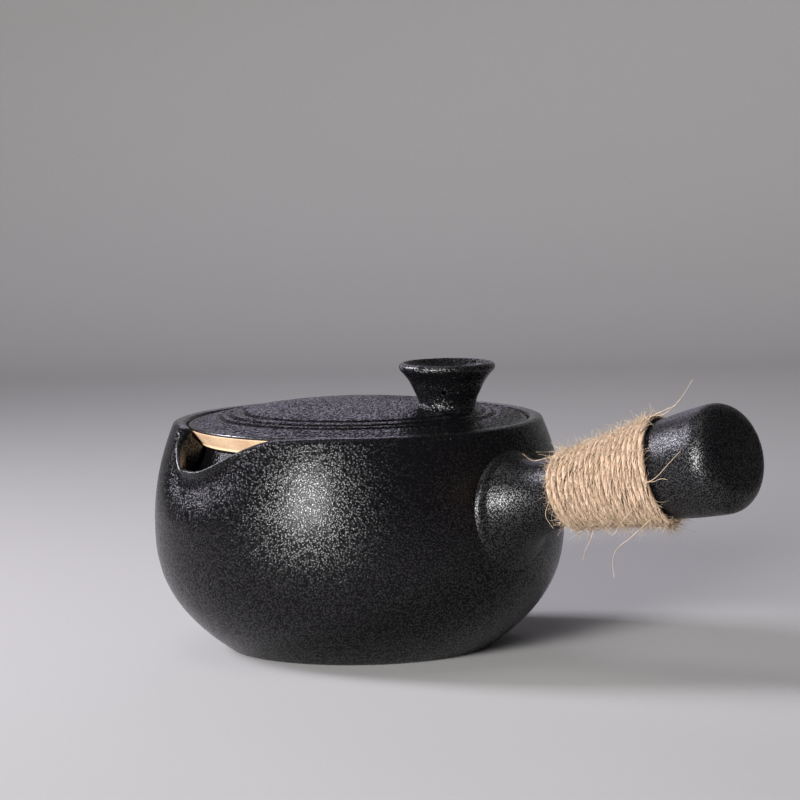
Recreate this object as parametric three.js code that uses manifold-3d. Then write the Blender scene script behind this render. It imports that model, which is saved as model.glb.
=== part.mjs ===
// Side-handle teapot in stoneware, with a pulled pour lip, a loose lid and a twine-wound handle.
// Millimetres, +Z up. The origin is the centre of the flat base, and the handle points along +X.

import * as THREE from 'three';
import { mergeVertices } from 'three/addons/utils/BufferGeometryUtils.js';
import Module from 'manifold-3d';

const wasm = await Module();
wasm.setup();

// Pot wall
const baseRadius = 33.5;
const bellyRadius = 52.5;
const bellyHeight = 33;
const shoulderRadius = 47.6;
const rimHeight = 58.5;
const rimRound = 1.3;
const mouthRound = 0.9;
const wallThickness = 3.2;
const floorThickness = 4.5;
const footCurvePower = 2.6;
const shoulderCurvePower = 2;
const potSegments = 72;

// Rim, and the bevelled seat inside the mouth
const rimWidth = 3.85;
const mouthDepth = 1.75;
const seatInset = 2.9;
const seatDrop = 3.2;
const throatDepth = 0.95;
const ledgeUndersideDrop = 5.1;

// Pour lip, pulled down and out of the rim, and steeper on its side away from the handle
const lipAngle = -107 * THREE.MathUtils.DEG2RAD;
const lipNearSpan = 31 * THREE.MathUtils.DEG2RAD;
const lipFarSpan = 18 * THREE.MathUtils.DEG2RAD;
const lipFlarePower = 0.6;
const lipDip = 9.5;
const lipFlare = 6.6;
const lipThickness = 1.5;
const lipUndercut = 1.2;

// Lid
const lidSideGap = 0.35;
const lidSeatGap = 0.3;
const lidEdgeThickness = 0.9;
const lidEdgeRound = 0.35;
const lidCrown = 5.4;
const lidRoofThickness = 3;
const lidFlangeDepth = 0.6;
const lidFlangeThickness = 2.6;
const lidGrooveWidth = 0.9;
const lidGrooveDepth = 0.45;
const lidSegments = 56;

// Knob, luted to the lid off its centre
const knobOffset = 24.4;
const knobAngle = 21 * THREE.MathUtils.DEG2RAD;
const knobBaseRadius = 7.2;
const knobTopRadius = 12.2;
const knobHeight = 11.5;
const knobRimRound = 0.7;
const knobDish = 2.6;
const knobSegments = 36;
const ventBoreRadius = 1.5;
const ventBoreHeight = 6;
const ventEyeRadius = 0.6;
const ventEyeHeight = 4.4;
const ventEyeAngle = -57 * THREE.MathUtils.DEG2RAD;
const boreSegments = 12;

// Handle, a closed thrown tube luted to the wall. Its lengths are counted from its root.
const handleTilt = 13.3 * THREE.MathUtils.DEG2RAD;
const handleSeatRise = 6.4;
const handleRootSink = 5.7;
const handleLength = 75;
const handleCollarRadius = 18;
const handleNeckRadius = 7.4;
const handleEndRadius = 13.4;
const handleFlareLength = 7.6;
const handleSwellStart = 12;
const handleSwellEnd = 72;
const handleEndRound = 5.5;
const handleEndCrown = 0.5;
const handleWall = 3.4;
const handleSegments = 36;

// Twine wound round the handle
const twineDiameter = 1.5;
const twineStart = 22.8;
const twineEnd = 56.2;
const twineTurns = 17.5;
const twineTailLength = 3.6;
const twineTailAngle = -32 * THREE.MathUtils.DEG2RAD;
const twineStepsPerTurn = 24;
const twineSides = 6;

// Strainer, a pierced clay fence luted behind the lip
const strainerThickness = 2.2;
const strainerHeight = 17.9;
const strainerHalfAngle = 40 * THREE.MathUtils.DEG2RAD;
const strainerTopInset = 1.1;
const strainerHoleRadius = 1;
const strainerHolePitch = 4.2;
const strainerRowPitch = 4.2;
const strainerTopMargin = 6.2;
const strainerRowCounts = [9, 8, 7];
const strainerHoleSides = 6;
const strainerColumns = 18;
const strainerCourses = 5;

// Shared clearances
const luteGap = 0.3;
const overrun = 2;

const shoulderHeight = rimHeight - rimRound;
const mouthRadius = shoulderRadius - rimWidth;
const seatTopHeight = rimHeight - mouthDepth;
const seatBottomHeight = seatTopHeight - seatDrop;
const throatRadius = mouthRadius - seatInset;
const throatBottomHeight = seatBottomHeight - throatDepth;
const lipHeight = rimHeight - lipDip;
const lipEdgeRadius = mouthRadius + lipFlare;
const lipWaistRadius = lipEdgeRadius + lipThickness / 2 - lipUndercut;

// Materials
const glaze = { color: 0x1c1a1b, roughness: 0.5, metalness: 0 };
const jute = { color: 0xc9a577, roughness: 0.95, metalness: 0 };

// Solids and meshes
function toSolid(geometry) {
  const bare = geometry.clone();
  bare.deleteAttribute('normal');
  bare.deleteAttribute('uv');
  const merged = mergeVertices(bare);
  const vertProperties = new Float32Array(merged.attributes.position.array);
  const triVerts = new Uint32Array(merged.index.array);
  return new wasm.Manifold(new wasm.Mesh({ numProp: 3, vertProperties, triVerts }));
}

function toGeometry(solid) {
  const { vertProperties, triVerts } = solid.getMesh();
  const geometry = new THREE.BufferGeometry();
  geometry.setAttribute('position', new THREE.BufferAttribute(vertProperties, 3));
  geometry.setIndex(new THREE.BufferAttribute(triVerts, 1));
  geometry.computeVertexNormals();
  return geometry;
}

function namedMesh(name, geometry, finish) {
  const mesh = new THREE.Mesh(geometry, new THREE.MeshStandardMaterial(finish));
  mesh.name = name;
  return mesh;
}

// A revolve about +Z that starts on +X. The profile runs up the outside and down the inside.
function revolve(profile, segments) {
  const points = profile.map(([radius, height]) => new THREE.Vector2(radius, height));
  return new THREE.LatheGeometry(points, segments, Math.PI / 2).rotateX(Math.PI / 2);
}

function mix(a, b, share) {
  return a + (b - a) * share;
}

function smoothRise(share) {
  return THREE.MathUtils.smoothstep(share, 0, 1);
}

// Points of an arc, at shares of a half turn counted from the outward radius upwards
function arc([centreRadius, centreHeight], radius, halfTurnShares) {
  return halfTurnShares.map((share) => [
    centreRadius + radius * Math.cos(Math.PI * share),
    centreHeight + radius * Math.sin(Math.PI * share),
  ]);
}

// Pot wall: outside radius at a height, below and above the belly
function outsideRadius(height) {
  if (height < bellyHeight) {
    const footShare = (bellyHeight - height) / bellyHeight;
    return bellyRadius - (bellyRadius - baseRadius) * footShare ** footCurvePower;
  }
  const shoulderShare = (height - bellyHeight) / (shoulderHeight - bellyHeight);
  return bellyRadius - (bellyRadius - shoulderRadius) * shoulderShare ** shoulderCurvePower;
}

function insideRadius(height, skin) {
  if (height > bellyHeight) return outsideRadius(height) - wallThickness - skin;
  const depthShare = (bellyHeight - height) / (bellyHeight - floorThickness);
  const widest = bellyRadius - wallThickness - skin;
  return widest - (widest - baseRadius + skin) * depthShare ** footCurvePower;
}

// Heights as shares of the rise from base to belly and from belly to shoulder
const lowerWallShares = [0, 0.05, 0.13, 0.25, 0.4, 0.58, 0.78, 1];
const upperWallShares = [0.25, 0.45, 0.62, 0.77, 0.9, 1];
const insideWallShares = [0.94, 0.7, 0.45, 0.24, 0.1];
// At the lip the wall draws in to a waist: shares of that draw and of the rise to the lip's edge
const lipWallShares = [[0.08, 0.23], [0.33, 0.43], [0.65, 0.59], [0.9, 0.72], [1, 0.83], [0.97, 0.91]];
const lipEdgeShares = [0, 1 / 3, 2 / 3, 1];
const wallThinningShares = [1, 0.94, 0.78, 0.55, 0.25, 0];
const rimOutsideShares = [0.25, 0.5];
const rimInsideShares = [0.5, 0.75, 1];

function lowerOutside() {
  return lowerWallShares.map((share) => [outsideRadius(bellyHeight * share), bellyHeight * share]);
}

function lowerInside(skin) {
  const floor = floorThickness + skin;
  const rows = insideWallShares.map((share) => {
    const height = mix(floor, bellyHeight, share);
    return [insideRadius(height, skin), height];
  });
  return [...rows, [insideRadius(floor, skin), floor], [0, floor]];
}

// Plain section: shoulder, rounded rim, bevelled seat, throat and the ledge's sloping underside
function plainOutside() {
  const rise = shoulderHeight - bellyHeight;
  const wall = upperWallShares.map((share) => {
    const height = bellyHeight + rise * share;
    return [outsideRadius(height), height];
  });
  const outerRim = arc([shoulderRadius - rimRound, shoulderHeight], rimRound, rimOutsideShares);
  return [...wall, ...outerRim, ...innerRim(0).slice(0, -1)];
}

function innerRim(skin) {
  const centre = [mouthRadius + mouthRound - skin, rimHeight - mouthRound];
  return arc(centre, mouthRound, rimInsideShares);
}

function plainInside(skin) {
  const ledgeRoot = throatBottomHeight - ledgeUndersideDrop - skin;
  const upperWall = mix(bellyHeight, ledgeRoot, 1 / 2);
  return [
    ...innerRim(skin).slice(-1),
    [mouthRadius - skin, seatTopHeight],
    [throatRadius - skin, seatBottomHeight],
    [throatRadius - skin, throatBottomHeight - skin],
    [insideRadius(ledgeRoot, skin), ledgeRoot],
    [insideRadius(upperWall, skin), upperWall],
  ];
}

// Lip section with as many points: waist, thin rounded edge, and the channel behind it
function lipWallPoint([drawShare, riseShare], thickness) {
  const radius = mix(bellyRadius, lipWaistRadius, drawShare) - thickness;
  return [radius, mix(bellyHeight, lipHeight, riseShare)];
}

function lipOutside() {
  const edgeRound = lipThickness / 2;
  const edge = arc([lipEdgeRadius, lipHeight - edgeRound], edgeRound, lipEdgeShares);
  return [...lipWallShares.map((shares) => lipWallPoint(shares, 0)), ...edge];
}

function lipInside(skin) {
  return lipWallShares.map((shares, row) => {
    const thickness = mix(lipThickness, wallThickness, wallThinningShares[row]);
    return lipWallPoint(shares, thickness + skin);
  }).reverse();
}

function lipShare(angle) {
  const turn = THREE.MathUtils.euclideanModulo(angle - lipAngle + Math.PI, 2 * Math.PI) - Math.PI;
  return smoothRise(1 - Math.abs(turn) / (turn > 0 ? lipNearSpan : lipFarSpan));
}

// Loft round the axis from the plain section to the lip's section, by the lip's share at each angle
function loftToLip(plainSection, lipSection) {
  const geometry = revolve(plainSection, potSegments);
  const position = geometry.attributes.position;
  for (let i = 0; i < position.count; i += 1) {
    const row = i % plainSection.length;
    const column = (i - row) / plainSection.length;
    const angle = (column % potSegments) * 2 * Math.PI / potSegments;
    const share = lipShare(angle);
    const radius = mix(plainSection[row][0], lipSection[row][0], share ** lipFlarePower);
    const height = mix(plainSection[row][1], lipSection[row][1], share);
    position.setXYZ(i, radius * Math.cos(angle), radius * Math.sin(angle), height);
  }
  return toSolid(geometry);
}

function makePotSolid() {
  const shared = [[0, 0], ...lowerOutside()];
  const plain = [...shared, ...plainOutside(), ...plainInside(0), ...lowerInside(0)];
  const lip = [...shared, ...lipOutside(), ...lipInside(0), ...lowerInside(0)];
  return loftToLip(plain, lip);
}

// The space inside the pot, smaller all round by a gap, that what is luted inside is cut to
function makeCavitySolid(skin) {
  const inner = lowerInside(skin).reverse();
  const plain = [...inner, ...plainInside(skin).reverse(), [0, rimHeight]];
  const lip = [...inner, ...lipInside(skin).reverse(), [0, rimHeight]];
  return loftToLip(plain, lip);
}

// The pot's outside grown by a gap, that the handle's root is cut to
function makeOutsideCutter(skin) {
  const lower = lowerOutside().map(([radius, height]) => [radius + skin, height]);
  const upper = plainOutside().map(([radius, height]) => [radius + skin, height]);
  return toSolid(revolve([[0, 0], ...lower, ...upper, [0, rimHeight]], potSegments));
}

// Lid: its edge fits the mouth and its bevel fits the seat, each by its own gap
const lidRadius = mouthRadius - lidSideGap;
const lidEdgeHeight = seatTopHeight + lidSeatGap;
const lidEdgeTop = lidEdgeHeight + lidEdgeThickness;
const flangeRadius = throatRadius - lidSideGap;
const bevelBottomHeight = lidEdgeHeight - seatDrop;
const flangeBottomHeight = bevelBottomHeight - lidFlangeDepth;
const grooveRadiusShares = [0.68, 0.76, 0.82];

function lidTopHeight(radius) {
  return lidEdgeTop + lidCrown * (1 - (radius / lidRadius) ** 2);
}

function lidTopPoint(radius, depth = 0) {
  return [radius, lidTopHeight(radius) - depth];
}

function lidTopProfile(lift) {
  const grooveHalf = lidGrooveWidth / 2;
  const grooves = grooveRadiusShares.map((share) => lidRadius * share).flatMap((radius) => [
    lidTopPoint(radius - grooveHalf, -lift),
    lidTopPoint(radius, lidGrooveDepth - lift),
    lidTopPoint(radius + grooveHalf, -lift),
  ]);
  const middle = [0.22, 0.42, 0.57].map((share) => lidTopPoint(lidRadius * share, -lift));
  const outer = [0.91, 0.965].map((share) => lidTopPoint(lidRadius * share, -lift));
  return [[0, lidTopHeight(0) + lift], ...middle, ...grooves, ...outer];
}

function makeLidSolid() {
  const flangeInside = flangeRadius - lidFlangeThickness;
  const undersideShares = [1, 0.72, 0.4];
  const underside = undersideShares.map((share) => {
    const radius = (flangeInside - lidEdgeRound) * share;
    return [radius, lidTopHeight(radius) - lidRoofThickness];
  });
  const profile = [
    [0, lidTopHeight(0) - lidRoofThickness],
    ...underside.reverse(),
    [flangeInside, flangeBottomHeight + lidEdgeRound],
    [flangeInside + lidEdgeRound, flangeBottomHeight],
    [flangeRadius - lidEdgeRound, flangeBottomHeight],
    [flangeRadius, flangeBottomHeight + lidEdgeRound],
    [flangeRadius, bevelBottomHeight],
    [lidRadius, lidEdgeHeight],
    [lidRadius, lidEdgeTop - lidEdgeRound],
    [lidRadius - lidEdgeRound, lidEdgeTop],
    ...lidTopProfile(0).reverse(),
  ];
  return toSolid(revolve(profile, lidSegments));
}

function knobCentre() {
  return new THREE.Vector3(knobOffset * Math.cos(knobAngle), knobOffset * Math.sin(knobAngle), 0);
}

// A round cutter along +Z between two heights
function uprightCutter(radius, bottom, top, centre) {
  const cutter = new THREE.CylinderGeometry(radius, radius, top - bottom, boreSegments);
  cutter.rotateX(Math.PI / 2).translate(centre.x, centre.y, (top + bottom) / 2);
  return toSolid(cutter);
}

function makeLid() {
  const vent = uprightCutter(ventBoreRadius, flangeBottomHeight, rimHeight + knobHeight, knobCentre());
  return namedMesh('lid', toGeometry(makeLidSolid().subtract(vent)), glaze);
}

// Knob: a flared stem with a dished top, cut to the lid's crown, bored for the vent
// Shares of the flare from base radius to top radius, and of the height to the widest ring
const knobFlareShares = [[0, 0], [0.04, 0.2], [0.27, 0.45], [0.54, 0.71], [0.78, 0.86], [1, 1]];
const knobDishShares = [[0.86, 0.2], [0.6, 0.72], [0.3, 0.95], [0, 1]];

function makeKnob() {
  const centre = knobCentre();
  const foot = lidTopHeight(knobOffset);
  const widest = knobHeight - 2 * knobRimRound;
  const flare = knobFlareShares.map(([flareShare, riseShare]) => [
    mix(knobBaseRadius, knobTopRadius, flareShare),
    foot + widest * riseShare,
  ]);
  const rim = [
    [knobTopRadius, foot + widest + knobRimRound],
    [knobTopRadius - knobRimRound, foot + knobHeight],
  ];
  const dishTop = foot + knobHeight - knobRimRound / 2;
  const dish = knobDishShares.map(([share, depthShare]) => [
    (knobTopRadius - knobRimRound) * share,
    dishTop - knobDish * depthShare,
  ]);
  const root = foot - lidCrown;
  const profile = [[0, root], [knobBaseRadius, root], ...flare, ...rim, ...dish];
  const stem = toSolid(revolve(profile, knobSegments).translate(centre.x, centre.y, 0));

  const crown = [[0, root - overrun], [lidRadius, root - overrun], ...lidTopProfile(luteGap).reverse()];
  const crownCutter = toSolid(revolve(crown, lidSegments));
  const bore = uprightCutter(ventBoreRadius, root - overrun, foot + ventBoreHeight, centre);
  const eye = new THREE.CylinderGeometry(ventEyeRadius, ventEyeRadius, knobTopRadius, boreSegments);
  eye.rotateZ(-Math.PI / 2).translate(knobTopRadius / 2, 0, 0).rotateZ(ventEyeAngle);
  eye.translate(centre.x, centre.y, foot + ventEyeHeight);
  const knob = stem.subtract(crownCutter).subtract(bore).subtract(toSolid(eye));
  return namedMesh('lid_knob', toGeometry(knob), glaze);
}

// Handle: distance is counted along its axis from the root, which lies a little inside the belly
const handleRoundStart = handleLength - handleEndCrown - handleEndRound;

function handleRadius(distance) {
  const fade = Math.exp(-Math.max(distance, 0) / handleFlareLength);
  const flare = (handleCollarRadius - handleNeckRadius) * fade;
  const swellShare = (distance - handleSwellStart) / (handleSwellEnd - handleSwellStart);
  return handleNeckRadius + flare + (handleEndRadius - handleNeckRadius) * smoothRise(swellShare);
}

// Distances as shares of the run from the root to the rounded end, closer together where the collar flares
const handleRunShares = [0, 0.035, 0.08, 0.135, 0.21, 0.31, 0.44, 0.56, 0.68, 0.8, 0.9, 1];
const handleEdgeShares = [1 / 8, 1 / 4, 3 / 8, 1 / 2];
const handleFaceShares = [0.6, 0];

// The barrel, its rounded edge and the slightly crowned end face
function handleOutline(inset) {
  const start = -overrun;
  const run = handleRunShares.map((share) => {
    const distance = mix(start, handleRoundStart, share);
    return [handleRadius(distance) - inset, distance];
  });
  const faceRadius = handleRadius(handleRoundStart) - handleEndRound;
  const edge = arc([faceRadius, handleRoundStart], handleEndRound - inset, handleEdgeShares);
  const face = handleFaceShares.map((share) => [
    faceRadius * share,
    handleLength - inset - handleEndCrown * share ** 2,
  ]);
  return [...run, ...edge, ...face];
}

// The handle's own frame: +Z runs along its axis from the root, and +X points down
function placeHandle(object) {
  object.rotation.y = Math.PI / 2 - handleTilt;
  object.position.set(bellyRadius - handleRootSink, 0, bellyHeight + handleSeatRise);
  object.updateMatrix();
  return object;
}

function makeHandle() {
  const boreStart = -2 * overrun;
  const outside = toSolid(revolve([[0, -overrun], ...handleOutline(0)], handleSegments));
  const boreMouth = [[0, boreStart], [handleRadius(-overrun) - handleWall, boreStart]];
  const bore = toSolid(revolve([...boreMouth, ...handleOutline(handleWall)], handleSegments));
  const toHandleFrame = placeHandle(new THREE.Object3D()).matrix.clone().invert();
  const potOutside = toGeometry(makeOutsideCutter(luteGap)).applyMatrix4(toHandleFrame);
  const handle = outside.subtract(bore).subtract(toSolid(potOutside));
  return namedMesh('handle', toGeometry(handle), glaze);
}

// Twine: one unbroken helix that lies on the handle, with a straight end at each side
class TwineCurve extends THREE.Curve {
  constructor() {
    super();
    this.turnAngle = 2 * Math.PI * twineTurns;
    this.arcLengthDivisions = twineTurns * twineStepsPerTurn * 4;
    const wound = this.turnAngle * (handleRadius(twineStart) + handleRadius(twineEnd)) / 2;
    this.headShare = twineDiameter / (wound + twineDiameter + twineTailLength);
    this.tailShare = twineTailLength / (wound + twineDiameter + twineTailLength);
  }

  woundPoint(share) {
    const distance = mix(twineStart, twineEnd, share);
    const radius = handleRadius(distance) + luteGap + twineDiameter / 2;
    const angle = twineTailAngle + this.turnAngle * (share - 1);
    return new THREE.Vector3(radius * Math.cos(angle), radius * Math.sin(angle), distance);
  }

  // The straight ends leave the winding along its direction there
  getPoint(t) {
    const share = (t - this.headShare) / (1 - this.headShare - this.tailShare);
    const inside = THREE.MathUtils.clamp(share, 0, 1);
    const point = this.woundPoint(inside);
    if (share === inside) return point;
    const step = 1 / (this.turnAngle * twineStepsPerTurn);
    const from = share < 0 ? this.woundPoint(step) : this.woundPoint(1 - step);
    const length = share < 0 ? twineDiameter : twineTailLength;
    const endShare = share < 0 ? 1 - t / this.headShare : 1 - (1 - t) / this.tailShare;
    return point.add(point.clone().sub(from).setLength(length * endShare));
  }
}

// Least gap between turns, measured between points more than half a turn apart
function leastTwineGap(curve) {
  const points = curve.getPoints(twineTurns * twineStepsPerTurn * 2);
  let least = Infinity;
  for (let i = 0; i < points.length; i += 1) {
    for (let j = i + twineStepsPerTurn; j < Math.min(points.length, i + 3 * twineStepsPerTurn); j += 1) {
      least = Math.min(least, points[i].distanceTo(points[j]));
    }
  }
  return least - twineDiameter;
}

function makeTwine() {
  const curve = new TwineCurve();
  console.log('least gap between turns of twine, mm:', leastTwineGap(curve).toFixed(2));
  const section = new THREE.Shape();
  for (let side = 0; side < twineSides; side += 1) {
    const angle = 2 * Math.PI * side / twineSides;
    const corner = [Math.cos(angle) * twineDiameter / 2, Math.sin(angle) * twineDiameter / 2];
    if (side === 0) section.moveTo(...corner);
    else section.lineTo(...corner);
  }
  const steps = Math.round(twineTurns * twineStepsPerTurn);
  const tube = new THREE.ExtrudeGeometry(section, { steps, extrudePath: curve, curveSegments: 1 });
  return namedMesh('handle_twine', toGeometry(toSolid(tube)), jute);
}

// Strainer: a fence that leans in from the wall to just under the lid's flange and runs out at its ends
const strainerTop = flangeBottomHeight - lidSideGap;
const strainerFoot = strainerTop - strainerHeight;
const strainerTopRadius = flangeRadius - strainerTopInset - strainerThickness;

function strainerFaceRadius(turnShare, riseShare) {
  const wallRadius = insideRadius(mix(strainerFoot, strainerTop, riseShare), 0);
  const endFade = 1 - Math.abs(turnShare) ** 4;
  return mix(wallRadius, strainerTopRadius, endFade * riseShare);
}

function strainerBlock() {
  const block = new THREE.BoxGeometry(1, 1, 1, strainerColumns, strainerCourses, 1);
  const position = block.attributes.position;
  for (let i = 0; i < position.count; i += 1) {
    const turnShare = 2 * position.getX(i);
    const riseShare = position.getY(i) + 1 / 2;
    const depthShare = position.getZ(i) + 1 / 2;
    const radius = strainerFaceRadius(turnShare, riseShare) + strainerThickness * depthShare;
    const angle = lipAngle + strainerHalfAngle * turnShare;
    const height = mix(strainerFoot, strainerTop, riseShare);
    position.setXYZ(i, radius * Math.cos(angle), radius * Math.sin(angle), height);
  }
  return toSolid(block);
}

function makeStrainer() {
  let fence = strainerBlock().intersect(makeCavitySolid(luteGap));
  const lean = Math.atan2(strainerFaceRadius(0, 0) - strainerFaceRadius(0, 1), strainerHeight);
  strainerRowCounts.forEach((count, row) => {
    const height = strainerTop - strainerTopMargin - strainerRowPitch * row * Math.cos(lean);
    const riseShare = (height - strainerFoot) / strainerHeight;
    const radius = strainerFaceRadius(0, riseShare) + strainerThickness / 2;
    for (let hole = 0; hole < count; hole += 1) {
      const cutter = new THREE.CylinderGeometry(1, 1, 1, strainerHoleSides);
      cutter.scale(strainerHoleRadius, 4 * strainerThickness, strainerHoleRadius);
      cutter.rotateZ(-Math.PI / 2).rotateY(-lean).translate(radius, 0, height);
      cutter.rotateZ(lipAngle + (hole - (count - 1) / 2) * strainerHolePitch / radius);
      fence = fence.subtract(toSolid(cutter));
    }
  });
  return namedMesh('strainer', toGeometry(fence), glaze);
}

const teapot = new THREE.Group();
teapot.add(namedMesh('pot_body', toGeometry(makePotSolid()), glaze));
teapot.add(makeStrainer());
const handleFrame = placeHandle(new THREE.Group());
handleFrame.add(makeHandle(), makeTwine());
teapot.add(handleFrame, makeLid(), makeKnob());

export default teapot;
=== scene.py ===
# %% [markdown]
# # A side-handle teapot in black-glazed stoneware
# The pot is thrown on a wheel, and its lip is pulled out of the soft rim with a finger. A hollow handle is
# luted to its belly and wound with jute. This lesson starts from a finished model of its six pieces, whose
# places and sizes are fixed, and gives each one the smooth skin and the surface that the fired pot has.

# %% Load the fixed model
import math
from functools import partial

import bpy
import numpy as np
from mathutils import Matrix, Vector


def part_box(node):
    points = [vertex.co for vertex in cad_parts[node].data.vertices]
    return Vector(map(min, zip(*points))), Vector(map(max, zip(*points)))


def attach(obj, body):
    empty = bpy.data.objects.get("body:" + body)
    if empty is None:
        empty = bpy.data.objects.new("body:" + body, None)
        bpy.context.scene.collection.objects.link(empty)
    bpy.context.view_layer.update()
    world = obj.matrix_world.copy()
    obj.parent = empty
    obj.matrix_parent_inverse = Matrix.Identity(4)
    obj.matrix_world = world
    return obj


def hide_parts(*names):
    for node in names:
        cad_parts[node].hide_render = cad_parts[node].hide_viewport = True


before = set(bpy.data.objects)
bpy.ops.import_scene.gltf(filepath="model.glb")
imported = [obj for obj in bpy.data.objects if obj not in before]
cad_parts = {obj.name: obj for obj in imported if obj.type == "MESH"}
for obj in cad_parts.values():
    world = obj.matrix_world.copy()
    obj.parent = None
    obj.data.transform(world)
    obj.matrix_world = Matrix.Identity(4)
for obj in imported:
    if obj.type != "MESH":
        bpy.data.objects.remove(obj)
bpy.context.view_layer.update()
print("Pieces of the model:", ", ".join(sorted(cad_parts)))

# %% [markdown]
# ## Units
# Blender works in metres, but a potter's sizes are easier to read in millimetres. Every size below is
# written in millimetres, and each mesh is scaled once, when it is made. The pot's and the lid's widths and
# heights are read off the model, so the skins stay where the model is.

# %% Sizes read off the model
MM = 0.001


def highest_corner(piece):
    """Highest corner of a piece of the model, in millimetres."""
    _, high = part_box(piece)
    return np.array(high) / MM


BELLY_RADIUS, _, RIM_HEIGHT = highest_corner("pot_body")
LID_RADIUS, _, LID_TOP = highest_corner("lid")
print(f"Belly radius {BELLY_RADIUS:.1f} mm, rim at {RIM_HEIGHT:.1f} mm, lid radius {LID_RADIUS:.1f} mm")

# %% [markdown]
# ## Camera
# The camera stands a metre away and looks slightly down, so the lid's top is a thin ellipse.
# A long lens keeps the perspective flat. It is tipped by one degree, as a hand-set tripod is. A helper
# turns a place in the picture into a place in space, which the loose fibres of the winding need later.

# %% Camera
PICTURE_SIZE = 800
SENSOR = 36
LENS = 174.13
CAMERA_PLACE = np.array([646.7, -743.9, 168.3])
CAMERA_LOOK = Vector((-0.6440, 0.7576, -0.1064))
CAMERA_ROLL = math.radians(1.06)

camera = bpy.data.objects.new("camera", bpy.data.cameras.new("camera"))
bpy.context.scene.collection.objects.link(camera)
bpy.context.scene.camera = camera
camera.data.lens = LENS
camera.data.sensor_width = SENSOR
camera_turn = CAMERA_LOOK.to_track_quat("-Z", "Y") @ Matrix.Rotation(-CAMERA_ROLL, 3, "Z").to_quaternion()
camera.location = Vector(CAMERA_PLACE) * MM
camera.rotation_mode = "QUATERNION"
camera.rotation_quaternion = camera_turn


def sight_line(across, down):
    """Unit vector from the camera through a pixel of the picture."""
    half = PICTURE_SIZE / 2
    focal = PICTURE_SIZE * LENS / SENSOR
    return np.array((camera_turn @ Vector((across - half, half - down, -focal))).normalized())


print("The camera looks along", np.round(sight_line(PICTURE_SIZE / 2, PICTURE_SIZE / 2), 3))

# %% [markdown]
# ## Colours and nodes
# Colours are picked as sRGB hex values, as a colour picker shows them, and one function turns them to the
# linear values that a shader needs. One more function adds a node with its settings and its links. Each
# material gets that function bound to its own tree, so that it reads from top to bottom. Patterns are laid
# out in the pot's own space, in real millimetres.

# %% Colour and node helpers
def linear(hex_colour):
    """Linear RGBA of an sRGB hex colour such as #1c1a1b."""
    parts = [int(hex_colour[i:i + 2], 16) / 255 for i in (1, 3, 5)]
    return [p / 12.92 if p <= 0.04045 else ((p + 0.055) / 1.055) ** 2.4 for p in parts] + [1]


def add_node(tree, kind, inputs, **settings):
    """Adds a shader node and gives its outputs. Each input is a value or another node's output."""
    made = tree.nodes.new("ShaderNode" + kind)
    for name, value in settings.items():
        setattr(made, name, value)
    for name, value in inputs.items():
        if isinstance(value, bpy.types.NodeSocket):
            tree.links.new(value, made.inputs[name])
        else:
            made.inputs[name].default_value = value
    return made.outputs


def new_material(name):
    """An empty material, and the function that adds a node to it."""
    material = bpy.data.materials.new(name)
    material.use_nodes = True
    material.node_tree.nodes.clear()
    print("Material:", name)
    return material, partial(add_node, material.node_tree)


def per_metre(size_mm):
    """Texture scale at which one cell of a pattern is that many millimetres wide."""
    return 1 / (size_mm * MM)


# Sockets of a Mix node that mixes colours
FACTOR, COLOUR_A, COLOUR_B, COLOUR_OUT = 0, 6, 7, 2

# %% [markdown]
# ## Iron-black glaze
# The black is an iron glaze that was sprayed on thick and fired until it just melts, so it stays as a skin
# of small round grains, like the peel of an orange. Each grain is glossy, so in the light the skin is full
# of glints, and out of it the pot is almost black. Rounded cells about 0.5 mm wide make the relief, and each
# has its own height and gloss, so that no two glint alike. The gaps between grains shade themselves, so they
# reflect less. On the handle, where it was sprayed thinner, the grains are finer and lower. On thin edges the
# glaze runs together and turns smooth. A mesh says where, point by point.

# %% Glaze
BODY_GRAIN = 0.5
LID_GRAIN = 0.6
HANDLE_GRAIN = 0.4
GRAIN_TOP_REACH = 0.14
GRAIN_FOOT_REACH = 0.64
LOWEST_GRAIN = 0.4
HIGHEST_GRAIN = 1.3
GAP_REFLECTION = 0.08
FINE_GRAINS_ACROSS = 3
FINE_SHARE = 0.25
UNEVENNESS = 5
UNEVEN_SHARE = 2
FRECKLES_FROM = 0.95
EDGE_BUMP = 0.4
EDGE_ROUGHNESS = 0.26
GLAZE_IOR = 1.6
GLAZE_BLACK = "#0a090b"
FRECKLE_BROWN = "#1b1513"


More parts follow.
